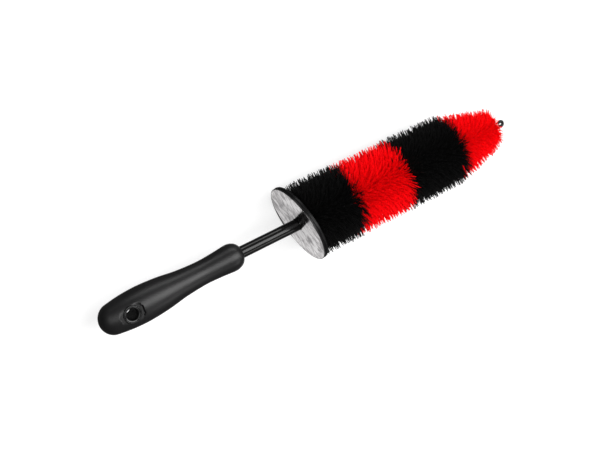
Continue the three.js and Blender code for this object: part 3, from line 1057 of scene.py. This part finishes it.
def floor(glow, bounce):
    """A wide pale light table, which throws little light back at the brush."""
    material, tree, shader = new_material("table", roughness=0.8, specular=0.0)
    clouds = noise(tree, place_of(tree), 120 * MM, detail=2)
    tree.links.new(mottled(tree, clouds, (0.37,) * 3, (0.39,) * 3), shader.inputs["Base Color"])
    shader.inputs["Emission Color"].default_value = (1, 1, 1, 1)
    shader.inputs["Emission Strength"].default_value = glow
    dull = tree.nodes.new("ShaderNodeBsdfDiffuse")
    dull.inputs["Color"].default_value = (bounce, bounce, bounce, 1)
    shown_to_camera(tree, dull.outputs["BSDF"], shader.outputs["BSDF"], tree.nodes["Material Output"])
    reach = 6.0
    points = [(-reach, -reach, 0), (reach, -reach, 0), (reach, reach, 0), (-reach, reach, 0)]
    made = build("table", np.array(points), [(0, 1, 2, 3)])
    made.data.materials.append(material)


def surroundings(ambient, backdrop):
    """Dim even light all round, with a pale backdrop where the camera looks past the table."""
    world = bpy.data.worlds.new("studio")
    bpy.context.scene.world = world
    world.use_nodes = True
    tree = world.node_tree
    tree.nodes.clear()
    shades = []
    for strength in (ambient, backdrop):
        node = tree.nodes.new("ShaderNodeBackground")
        node.inputs["Color"].default_value = (1, 1, 1, 1)
        node.inputs["Strength"].default_value = strength
        shades.append(node.outputs["Background"])
    shown_to_camera(tree, *shades, tree.nodes.new("ShaderNodeOutputWorld"))


def studio():
    """Softboxes round the brush, and a glowing card at the guard's foot that the bright plate mirrors."""
    bpy.context.scene.view_settings.view_transform = "Standard"
    surroundings(ambient=0.22, backdrop=0.97)
    for name, towards, distance, size, radiance in (
        ("overhead", (0.375, 0.12, 0.92), 1.25, (1.5, 0.85), 5.7),
        ("low_left", (0.375, 0.91, 0.17), 1.3, (1.2, 0.40), 3.6),
        ("right", (0.375, -0.70, 0.62), 1.5, (0.9, 0.5), 2.0),
        ("tip_side", (0.88, -0.15, 0.45), 1.5, (0.5, 0.6), 3.0),
        ("front", (-0.62, 0.20, 0.76), 1.4, (0.9, 1.1), 1.4),
    ):
        soft_light(name, TARGET + Vector(towards).normalized() * distance, TARGET, size, radiance)
    up = Vector((0, 0, 1))
    behind, aside, height = 31 * MM, 25 * MM, 1 * MM
    card = GUARD_PLACE - behind * GUARD_AXIS - aside * up.cross(GUARD_AXIS)
    card.z = height
    soft_light("card", card, card + up, (60 * MM, 110 * MM), radiance=0.66, long_way=GUARD_AXIS)
    floor(glow=0.70, bounce=0.08)


def light_the_bristles(bands, radiance):
    """A broad softbox from the camera's side that is flagged off everything but the bristles."""
    lit = bpy.data.collections.new("bristle_light")
    for band in bands:
        lit.objects.link(band)
    distance, size = 1.3, (0.7, 0.55)
    fill = soft_light("bristle_fill", TARGET + TOWARDS_CAMERA * distance, TARGET, size, radiance)
    fill.light_linking.receiver_collection = lit


# ---------------------------------------------------------------------- brush

camera()
studio()

core_finish = hard_plastic("core_plastic", (0.0030, 0.0030, 0.0031), (0.0055, 0.0055, 0.0057), 0.24, 0.40)
disc_finish = hard_plastic("guard_plastic", (0.0030, 0.0030, 0.0031), (0.0054, 0.0054, 0.0056), 0.28, 0.14)
tip_finish = hard_plastic("tip_vinyl", (0.0020,) * 3, (0.0034,) * 3, 0.38, 0.24, grain=0.4 * MM)
# Each filament's first colour, at the roots, is the darker one: painted shade deep among the hairs.
black = filament("bristle_black", (0.0020,) * 3, (0.0042,) * 3, (0.0056,) * 3, 0.4, 0.10)
red = filament("bristle_red", (0.80, 0.002, 0.003), (0.95, 0.002, 0.004), (0.93, 0.003, 0.006), 0.12, 0.06)

finish_piece(handle_grip(), "brush", "grip_rubber", grip_rubber(), "handle_grip")
finish_piece(handle_core(), "brush", "core_plastic", core_finish, "handle_core")
finish_piece(stem_sleeve(), "brush", "sleeve_plastic", sleeve_plastic(), "stem_sleeve")
finish_piece(core_wire(), "brush", "wire_steel", wire_steel(), "core_wire")
finish_piece(tip_coat(), "brush", "tip_vinyl", tip_finish, "tip_cap")
finish_piece(guard_disc(), "guard", "guard_plastic", disc_finish, "guard_disc")
finish_piece(guard_face(), "guard", "guard_plate", guard_plate(), "guard_face")

bands = [
    bristle_band("black_rear_hairs", "bristles_black_rear", "bristle_black", black, 11, first=True),
    bristle_band("red_rear_hairs", "bristles_red_rear", "bristle_red", red, 12),
    bristle_band("black_front_hairs", "bristles_black_front", "bristle_black", black, 13),
    bristle_band("red_tip_hairs", "bristles_red_tip", "bristle_red", red, 14, nosed=True),
]
light_the_bristles(bands, radiance=9.6)
